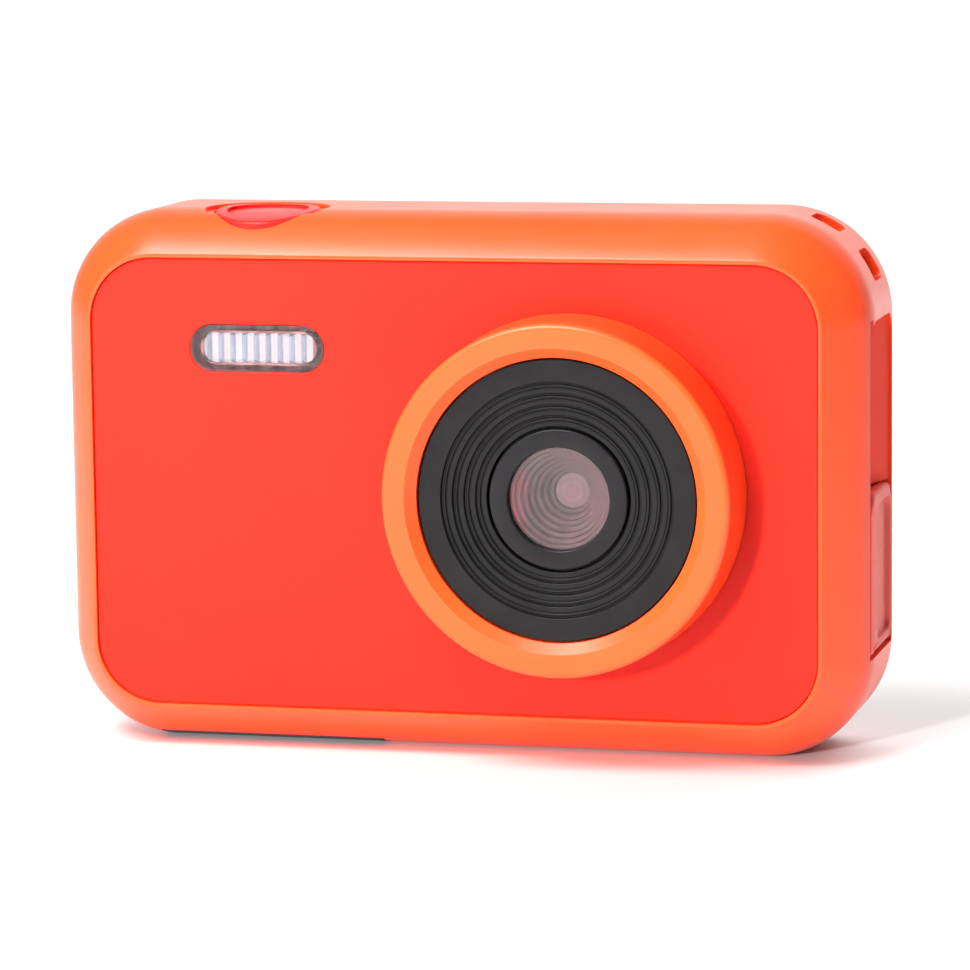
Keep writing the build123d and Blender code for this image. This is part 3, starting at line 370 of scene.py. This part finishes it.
def screen_glass():
    """The screen's black window: the display's area shows a shade lighter inside a blacker border."""
    side, top, foot = 2.2 * MM, 2.2 * MM, 3.0 * MM
    finish = Finish("window_black")
    low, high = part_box("screen_window")
    shown_low = (low.x + side, low.y - MM, low.z + foot)
    shown_high = (high.x - side, high.y + MM, high.z - top)
    display = finish.inside(shown_low, shown_high)
    border = finish.clouds(14.0, srgb(6, 6, 7), srgb(9, 9, 11), 3.0)
    area = finish.clouds(18.0, srgb(24, 27, 36), srgb(30, 33, 42), 3.0)
    finish.blend(display, border, area)
    finish.spread(finish.noise(6.0), 0.06, 0.1)
    return finish.material


def baffle_plastic():
    """The funnel's rosy brown plastic, with a painted red light on its left side where it nears the rim."""
    # How far left of the lens axis the painted red light starts and where it is full.
    plain_to, crimson_from = 3.2 * MM, 4.4 * MM
    finish = Finish("baffle_plastic")
    plain = finish.clouds(1.5, srgb(94, 38, 50), srgb(110, 52, 62))
    # Painted light: towards the rim on its left side the funnel goes a deep red.
    painted_crimson_light = finish.clouds(1.0, srgb(150, 6, 36), srgb(170, 14, 46))
    left = finish.mapped(finish.axis("X"), LENS_X - plain_to, LENS_X - crimson_from)
    finish.blend(left, plain, painted_crimson_light)
    finish.spread(finish.noise(0.6), 0.34, 0.4)
    finish.bump(finish.noise(0.1, 2.0), 0.003)
    return finish.material


def coated_glass():
    """A lens element painted with the rosy reflection of its coating, deeper in a disc at its centre where
    the coating is seen square on.
    """
    reach = 2.0 * MM
    finish = Finish("lens_glass", IOR=1.6)
    centred = finish.vector_maths("SUBTRACT", finish.place, (LENS_X, 0, LENS_Z))
    flat = finish.vector_maths("MULTIPLY", centred, (1, 0, 1))
    radius = finish.vector_maths("LENGTH", flat, output="Value")
    # Painted reflection: the lens takes the coating's rosy reflection as colour, deepest in a disc at the
    # centre and paler towards its edge.
    deep, mid, pale = srgb(158, 98, 118), srgb(174, 126, 136), srgb(184, 148, 152)
    painted_reflection_rings = [(0.34, deep), (0.40, mid), (0.62, mid), (0.68, pale)]
    finish.tint(finish.mapped(radius, 0.0, reach), painted_reflection_rings)
    finish.spread(finish.noise(1.0, 4.0), 0.22, 0.28)
    return finish.material


def make_materials():
    """One finish for each material slot in the record."""
    return {
        "shell_orange": shell_orange(),
        "ring_orange": moulded("ring_orange", (0.92, 0.078, 0.012), (0.96, 0.086, 0.015), 0.34),
        "panel_gloss": moulded(
            "panel_gloss", (0.72, 0.015, 0.006), (0.76, 0.017, 0.007), 0.38, grain_depth=0.003, cloud_mm=30.0,
            Specular_IOR_Level=0.25),
        "adhesive": moulded("adhesive", srgb(200, 190, 170), srgb(225, 216, 198), 0.6),
        "seal_foam": moulded("seal_foam", srgb(30, 30, 32), srgb(52, 52, 55), 0.9, 0.5, 0.08),
        "steel": metal("steel", srgb(150, 150, 152), srgb(190, 190, 194), 0.28, (1, 1, 6)),
        "bezel_black": moulded(
            "bezel_black", srgb(18, 17, 18), srgb(24, 23, 24), 0.42, 0.16, 0.006, 3.0,
            Specular_IOR_Level=0.3),
        "collar_black": moulded(
            "collar_black", srgb(20, 19, 21), srgb(26, 25, 27), 0.40, 0.14, 0.005, 3.0,
            Specular_IOR_Level=0.32),
        "clear_glass": glassy("clear_glass", (0.98, 0.97, 0.97), 0.0),
        "lens_glass": coated_glass(),
        "baffle_plastic": baffle_plastic(),
        "inner_black": moulded("inner_black", srgb(30, 29, 30), srgb(44, 43, 45), 0.5),
        "filter_glass": glassy("filter_glass", (0.72, 0.86, 0.95), 0.02),
        "sensor_face": metal("sensor_face", srgb(60, 48, 80), srgb(90, 74, 120), 0.15),
        "board_green": board_green(),
        "connector_plastic": moulded("connector_plastic", srgb(196, 186, 160), srgb(214, 206, 182), 0.45),
        "clear_plastic": clear_plastic(),
        "pearl_plastic": ribbed_pearl(),
        "led_yellow": moulded("led_yellow", srgb(232, 206, 70), srgb(244, 222, 96), 0.3, 0.2, 0.01, 1.0),
        "chip_black": moulded("chip_black", srgb(26, 26, 28), srgb(40, 40, 42), 0.55, 0.15, 0.01, 2.0),
        "socket_steel": metal("socket_steel", srgb(168, 168, 170), srgb(206, 206, 208), 0.22, (1, 6, 1)),
        "switch_black": moulded("switch_black", srgb(28, 28, 30), srgb(44, 44, 46), 0.5),
        "battery_wrap": moulded(
            "battery_wrap", srgb(150, 156, 168), srgb(176, 182, 192), 0.3, 0.6, 0.02, 6.0),
        "wire_jacket": moulded("wire_jacket", srgb(150, 20, 20), srgb(176, 34, 30), 0.4),
        "lcd_face": moulded("lcd_face", srgb(16, 18, 24), srgb(22, 24, 32), 0.2, 0.3, 0.001),
        "ribbon_amber": moulded("ribbon_amber", srgb(176, 104, 34), srgb(198, 128, 48), 0.35, 0.4, 0.01, 2.0),
        "window_black": screen_glass(),
        "speaker_black": moulded("speaker_black", srgb(24, 24, 26), srgb(40, 40, 42), 0.6),
        "button_red": moulded(
            "button_red", (0.70, 0.014, 0.010), (0.74, 0.018, 0.013), 0.30, 0.3, 0.002,
            Specular_IOR_Level=0.17),
        "key_red": moulded("key_red", (0.80, 0.040, 0.030), (0.84, 0.050, 0.038), 0.38, 0.25, 0.003),
        "cover_rubber": moulded(
            "cover_rubber", (0.76, 0.110, 0.085), (0.80, 0.130, 0.100), 0.55, 0.2, 0.006, 3.0),
        "label_film": moulded("label_film", srgb(44, 42, 47), srgb(58, 56, 62), 0.4, 0.3, 0.003),
        "nut_brass": metal("nut_brass", srgb(180, 146, 74), srgb(214, 182, 108), 0.25, (1, 1, 5)),
    }


def floor_white():
    """A pale satin floor, very slightly cloudy."""
    finish = Finish("floor_white", Roughness=0.42)
    finish.clouds(60.0, (0.73, 0.725, 0.725), (0.75, 0.745, 0.745), 3.0)
    return finish.material


def make_floor():
    """A plain square floor with its middle under the object."""
    half = 6.0
    corners = [(-half, -half, 0), (half, -half, 0), (half, half, 0), (-half, half, 0)]
    mesh = bpy.data.meshes.new("floor")
    mesh.from_pydata(corners, [], [(0, 1, 2, 3)])
    floor = bpy.data.objects.new("floor", mesh)
    bpy.context.scene.collection.objects.link(floor)
    mesh.materials.append(floor_white())


# ---- pieces ------------------------------------------------------------------------------------------
def piece(name, vertices, faces, slot, body, *nodes):
    """A smooth mesh piece in a slot's finish that rides on a body and stands for CAD nodes."""
    mesh = bpy.data.meshes.new(name)
    mesh.from_pydata(vertices, [], faces)
    work = bmesh.new()
    work.from_mesh(mesh)
    bmesh.ops.recalc_face_normals(work, faces=work.faces)
    work.to_mesh(mesh)
    work.free()
    mesh.polygons.foreach_set("use_smooth", [True] * len(mesh.polygons))
    mesh.materials.append(FINISHES[slot])
    made = bpy.data.objects.new(name, mesh)
    bpy.context.scene.collection.objects.link(made)
    made.modifiers.new("even_shading", "WEIGHTED_NORMAL").keep_sharp = True
    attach(made, body)
    if nodes:
        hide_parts(*nodes)
    return made


def softened(points, radius, steps=4):
    """A closed outline with its corners rounded, each by no more than its sides allow."""
    result = []
    count = len(points)
    for i, point in enumerate(points):
        here, before, after = Vector(point), Vector(points[i - 1]), Vector(points[(i + 1) % count])
        back, ahead = (before - here), (after - here)
        reach = min(radius, 0.45 * back.length, 0.45 * ahead.length)
        start, end = here + back.normalized() * reach, here + ahead.normalized() * reach
        for k in range(steps + 1):
            t = k / steps
            result.append(start * (1 - t) ** 2 + here * (2 * t * (1 - t)) + end * t ** 2)
    return result


def lathed(name, profile_mm, radius_mm, slot, *nodes):
    """A closed profile of (radius, depth) points, softened and turned about the lens axis."""
    profile = softened([(r * MM, y * MM) for r, y in profile_mm], radius_mm * MM)
    vertices, faces = [], []
    size = len(profile)
    for i in range(TURN_STEPS):
        angle = 2 * math.pi * i / TURN_STEPS
        vertices += [(LENS_X + r * math.cos(angle), y, LENS_Z + r * math.sin(angle)) for r, y in profile]
        base, following = i * size, (i + 1) % TURN_STEPS * size
        for k in range(size):
            after = (k + 1) % size
            faces.append((base + k, base + after, following + after, following + k))
    return piece(name, vertices, faces, slot, "camera_body", *nodes)


def bezel_profile():
    """The dished bezel in mm of (radius, depth): a seat, then four double grooves, each a step lower."""
    low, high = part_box("lens_bezel")
    front, back, rim = low.y / MM, high.y / MM, (high.x - low.x) / 2 / MM
    bore, seat, dish_end = 5.0, 12.1, 6.96
    ledge, floor = front + 1.6, front + BEZEL_FLOOR
    grooves, first_r, step_r, step_y = 4, 11.25, 1.0725, 0.22
    profile = [(bore, back), (seat, back), (seat, ledge), (rim, ledge), (rim, front)]
    # One double groove, as distances inward and down from its outer edge.
    groove = [(0, 0), (0.04, 0.34), (0.26, 0.34), (0.3, 0.08)]
    groove += [(0.45, 0.08), (0.48, 0.3), (0.58, 0.3), (0.6, 0.22)]
    for i in range(grooves):
        r, y = first_r - i * step_r, front + i * step_y
        profile += [(r - inward, y + down) for inward, down in groove]
    return profile + [(dish_end, front + grooves * step_y), (dish_end, floor), (bore, floor)]


def collar_profile():
    """The collar in mm of (radius, depth): a ring with a lip over the cover glass's edge."""
    low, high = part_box("lens_collar")
    top, outer = low.y / MM, (high.x - low.x) / 2 / MM
    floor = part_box("lens_bezel")[0].y / MM + BEZEL_FLOOR
    lip_r, glass_r, lip = 4.92, 5.65, 0.5
    profile = [(outer, floor), (outer, top), (lip_r, top)]
    return profile + [(lip_r, top + lip), (glass_r, top + lip), (glass_r, floor)]


def baffle_profile():
    """The funnel in mm of (radius, depth): narrowing steps inside, a cone and a flange outside."""
    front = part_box("lens_baffle")[0].y / MM
    mouth, steps, depth, narrowing, lip = 4.5, 6, 4.7 / 6, 2.75 / 6, 0.05
    end, flange_front, flange_back = front + 5.1, front + 0.9, front + 1.7
    body, flange = 4.9, 6.4
    profile = [(mouth, front)]
    for i in range(steps):
        r, y = mouth - i * narrowing, front + (i + 1) * depth
        profile += [(r - lip, y), (r - narrowing, y)]
    profile += [(1.75, end), (3.2, end), (body, flange_back), (flange, flange_back)]
    return profile + [(flange, flange_front), (body, flange_front), (body, front)]


def make_lens_trim():
    """The bezel, the collar and the funnel, turned from the profiles above."""
    lathed("lens_bezel_face", bezel_profile(), 0.09, "bezel_black", "lens_bezel")
    lathed("lens_collar_ring", collar_profile(), 0.2, "collar_black", "lens_collar")
    lathed("lens_baffle_steps", baffle_profile(), 0.07, "baffle_plastic", "lens_baffle")


def rounded_outline(low, high, radius, low_radius=None, steps=10):
    """Points round a rounded rectangle in two coordinates, each with its outward direction."""
    points = []
    for corner, (su, sv) in enumerate(((1, 1), (-1, 1), (-1, -1), (1, -1))):
        r = low_radius if low_radius and sv < 0 else radius
        centre_u = high[0] - r if su > 0 else low[0] + r
        centre_v = high[1] - r if sv > 0 else low[1] + r
        for k in range(steps + 1):
            angle = math.radians(90 * corner + 90 * k / steps)
            u, v = math.cos(angle), math.sin(angle)
            points.append((centre_u + r * u, centre_v + r * v, u, v))
    return points


def stacked(name, loops, slot, body, *nodes):
    """A solid made of loops with equal point counts, one inside or above the next."""
    vertices = [point for loop in loops for point in loop]
    size = len(loops[0])
    last = (len(loops) - 1) * size
    faces = [tuple(range(size)), tuple(range(last, last + size))]
    for start in range(0, last, size):
        for k in range(size):
            after = (k + 1) % size
            faces.append((start + k, start + after, start + size + after, start + size + k))
    return piece(name, vertices, faces, slot, body, *nodes)


def make_port_cover():
    """The rubber flap: a soft rim round a shallow well, rounder at its hinge, with two plugs behind."""
    low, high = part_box("port_cover")
    thickness, top_r, foot_r, well_r = 1.8 * MM, 1.85 * MM, 0.5 * MM, 1.2 * MM
    rim_front, rim_back, rim_end = 2.6 * MM, 0.6 * MM, 1.25 * MM
    edge_mm, hinge_extra_mm = 0.35, 0.55
    side = high.x
    inner = side - thickness
    outline = rounded_outline((low.y, low.z), (high.y, high.z), top_r, foot_r)
    well_low, well_high = (low.y + rim_front, low.z + rim_end), (high.y - rim_back, high.z - rim_end)
    well = rounded_outline(well_low, well_high, well_r)
    loops = [[(inner, y, z) for y, z, u, v in outline]]
    # The rim's rounded edge, from the flap's side to its face.
    for angle in range(0, 91, 18):
        a = math.radians(angle)
        loop = []
        for y, z, u, v in outline:
            edge = (edge_mm + hinge_extra_mm * max(0.0, -v) ** 2) * MM
            inset = edge * (1 - math.cos(a))
            loop.append((side - edge * (1 - math.sin(a)), y - u * inset, z - v * inset))
        loops.append(loop)
    # The well's wall, as (depth below the rim, distance inside the well's outline).
    for sunk, inset in ((0, -0.12), (0.05, -0.02), (0.14, 0.03), (0.42, 0.08), (0.48, 0.13), (0.5, 0.25)):
        loops.append([(side - sunk * MM, y - u * inset * MM, z - v * inset * MM) for y, z, u, v in well])
    stacked("port_cover_flap", loops, "cover_rubber", "port_flap", "port_cover")
    make_plug("data_plug", inner, (4.6, 12.95), (6.4, 19.75), 0.8)
    make_plug("card_plug", inner, (1.8, 13.2), (3.0, 23.6), 0.5)


def make_plug(name, root, start_mm, end_mm, radius_mm):
    """A soft plug behind the flap, between two corners in (y, z), with its tip's edge rounded."""
    outline = rounded_outline(Vector(start_mm) * MM, Vector(end_mm) * MM, radius_mm * MM)
    loops = []
    for reach, inset in ((0.3, 0.0), (-0.7, 0.0), (-0.85, 0.06), (-0.9, 0.2)):
        loops.append([(root + reach * MM, y - u * inset * MM, z - v * inset * MM) for y, z, u, v in outline])
    stacked(name, loops, "cover_rubber", "port_flap")


def make_flash_plate():
    """The plate behind the flash's prisms, a lozenge with a softened front edge."""
    low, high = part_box("flash_diffuser")
    face = low.y + FLASH_RIB_DEPTH
    outline = rounded_outline((low.x, low.z), (high.x, high.z), 0.98 * (high.z - low.z) / 2)
    loops = []
    for y, inset in ((high.y, 0.0), (face + 0.12 * MM, 0.0), (face + 0.03 * MM, 0.04), (face, 0.12)):
        loops.append([(x - u * inset * MM, y, z - v * inset * MM) for x, z, u, v in outline])
    stacked("flash_plate", loops, "pearl_plastic", "camera_body", "flash_diffuser")


def make_flash_prisms():
    """A row of upright prisms on the plate, each with a ridge along it and chamfered ends."""
    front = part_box("flash_diffuser")[0].y
    ridge, face = front + 0.02 * MM, front + FLASH_RIB_DEPTH
    shoulder, back = face + 0.08 * MM, face + 0.3 * MM
    half_high = 1.38 * MM
    shorter = half_high - 0.26 * MM
    margin, half_wide = 0.08 * FLASH_PITCH, 0.44 * FLASH_PITCH
    vertices, faces = [], []
    for i in range(FLASH_RIBS):
        left = FLASH_X + (i - FLASH_RIBS / 2) * FLASH_PITCH + margin
        crest, right = left + half_wide, left + 2 * half_wide
        base = len(vertices)
        section = [(left, face, shorter), (left, shoulder, half_high), (crest, ridge, half_high)]
        section += [(right, face, shorter), (right, shoulder, half_high)]
        section += [(x, back, half_high) for x in (left, crest, right)]
        for x, y, reach in section:
            vertices += [(x, y, FLASH_Z - reach), (x, y, FLASH_Z + reach)]
        l0, l1, c, r0, r1, bl, bc, br = (base + 2 * k for k in range(8))
        faces += [(l0, l0 + 1, c + 1, c), (c, c + 1, r0 + 1, r0), (l0, l1, l1 + 1, l0 + 1)]
        faces += [(r0, r0 + 1, r1 + 1, r1), (l1, bl, bl + 1, l1 + 1), (r1, r1 + 1, br + 1, br)]
        faces += [(l0, c, bc, bl, l1), (c, r0, r1, br, bc), (l0 + 1, l1 + 1, bl + 1, bc + 1, c + 1)]
        faces += [(c + 1, bc + 1, br + 1, r1 + 1, r0 + 1), (bl, bc, bc + 1, bl + 1), (bc, br, br + 1, bc + 1)]
    prisms = piece("flash_prisms", vertices, faces, "pearl_plastic", "camera_body")
    for polygon in prisms.data.polygons:
        polygon.use_smooth = False


def make_label_film():
    """The rating label: a thin film on the underside that runs forward onto the lower bevel."""
    low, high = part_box("rating_label")
    shell = frame["nodes"]["front_shell"].data
    tree = BVHTree.FromPolygons([v.co for v in shell.vertices], [tuple(p.vertices) for p in shell.polygons])
    columns, rows = 47, 24
    front = -3.4 * MM
    pocket_outer, pocket_inner = 0.02 * MM, 0.09 * MM
    proud, sunk = 0.03 * MM, 0.02 * MM
    up, below = Vector((0, 0, 1)), -5 * MM
    outer, inner = [], []
    for j in range(rows):
        y = front + (high.y - front) * (j / (rows - 1)) ** 2
        for i in range(columns):
            x = low.x + (high.x - low.x) * i / (columns - 1)
            # In front of its pocket the film lies on the bevel.
            level = tree.ray_cast(Vector((x, y, below)), up)[0].z if y < low.y else 0.0
            outer.append((x, y, max(pocket_outer, level - proud)))
            inner.append((x, y, max(pocket_inner, level + sunk)))
    size = rows * columns
    faces = []
    for start in range(0, size - columns, columns):
        for a in range(start, start + columns - 1):
            quad = (a, a + 1, a + columns + 1, a + columns)
            faces += [quad, tuple(size + k for k in reversed(quad))]
    rim = list(range(columns)) + list(range(2 * columns - 1, size, columns))
    rim += list(range(size - 2, size - columns - 1, -1)) + list(range(size - 2 * columns, 0, -columns))
    for a, b in zip(rim, rim[1:] + rim[:1]):
        faces.append((a, size + a, size + b, b))
    piece("rating_label_film", outer + inner, faces, "label_film", "camera_body", "rating_label")


# ---- assembly ----------------------------------------------------------------------------------------
make_camera()
make_world()
make_floor()
area_light("softbox_top", (-0.13, -0.20, 0.40), (0.26, 0.22), 2.9)
area_light("softbox_left", (-0.30, -0.34, 0.14), (0.22, 0.22), 0.35)
area_light("front_lamp", (-0.20, -0.78, 0.16), (0.05, 0.05), 10.5, glossy=False)
area_light("backdrop_lamp", (0.0, 1.2, 1.2), (2.0, 1.0), 60.0, aim=(0, 1.6, 0), glossy=False)

# Every CAD node wears its slot's finish. The pieces made after it stand for some of the nodes.
FINISHES = make_materials()
for sub in frame["record"]["subparts"]:
    mesh = frame["nodes"][sub["node"]].data
    mesh.materials.clear()
    mesh.materials.append(FINISHES[sub["material_slot"]])

make_lens_trim()
make_port_cover()
make_flash_plate()
make_flash_prisms()
make_label_film()
